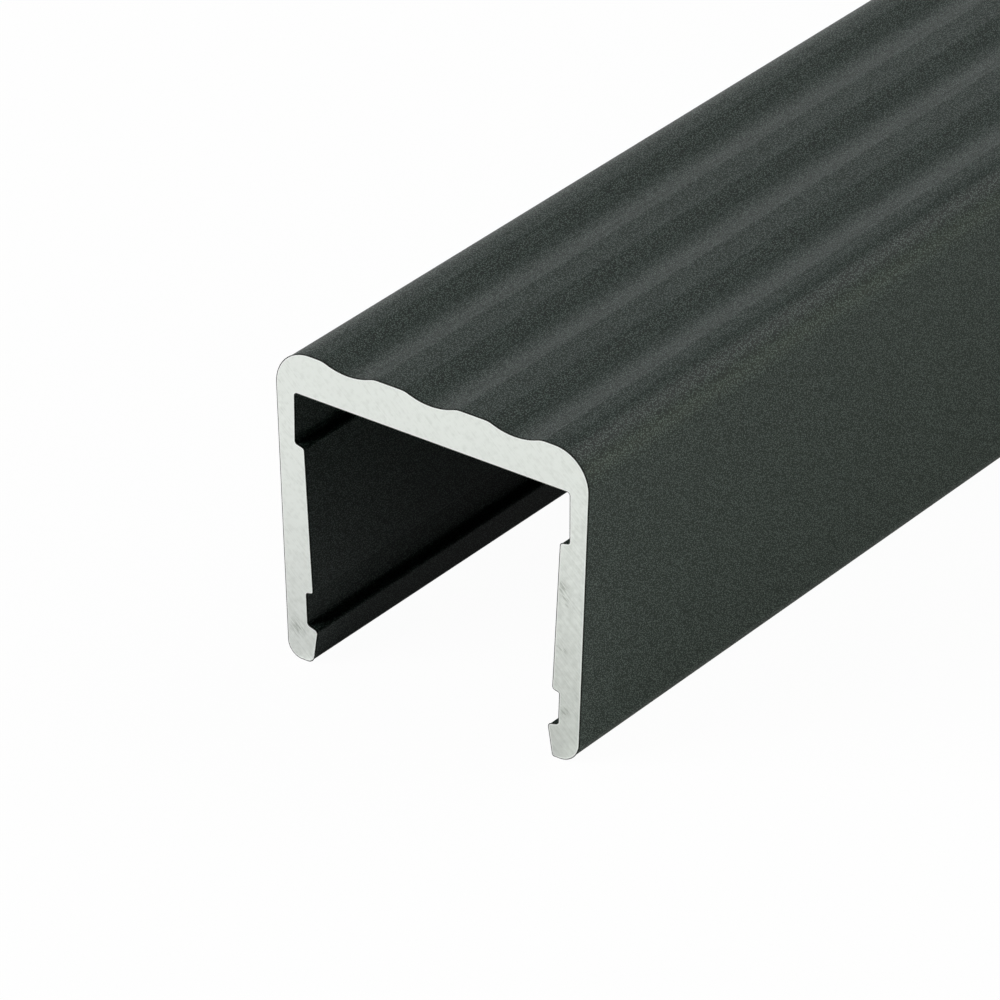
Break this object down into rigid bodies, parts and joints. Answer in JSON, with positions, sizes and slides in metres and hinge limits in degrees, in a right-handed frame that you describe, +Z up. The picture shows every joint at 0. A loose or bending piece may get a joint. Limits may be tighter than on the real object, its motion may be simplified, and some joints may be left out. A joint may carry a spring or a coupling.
{
  "type": "aluminium extrusion profile",
  "caption": "Coated aluminium capping channel with a fluted top and stepped legs that end in inward snap lips, made to clip over the edge of a board.",
  "frame": {"origin": "on the floor between the two feet, half way along the stock", "axes": "+Y along the stock, away from the end that the picture shows; +Z up, from the feet to the fluted top; +X across the channel"},
  "size_m": [0.022, 1, 0.0201],
  "materials": {
    "anthracite_coat": "matt anthracite coat with a fine grain on the drawn faces, bare sawn metal on the two ends"
  },
  "bodies": {
    "root": {"capping_profile": "anthracite_coat"}
  },
  "joints": []
}
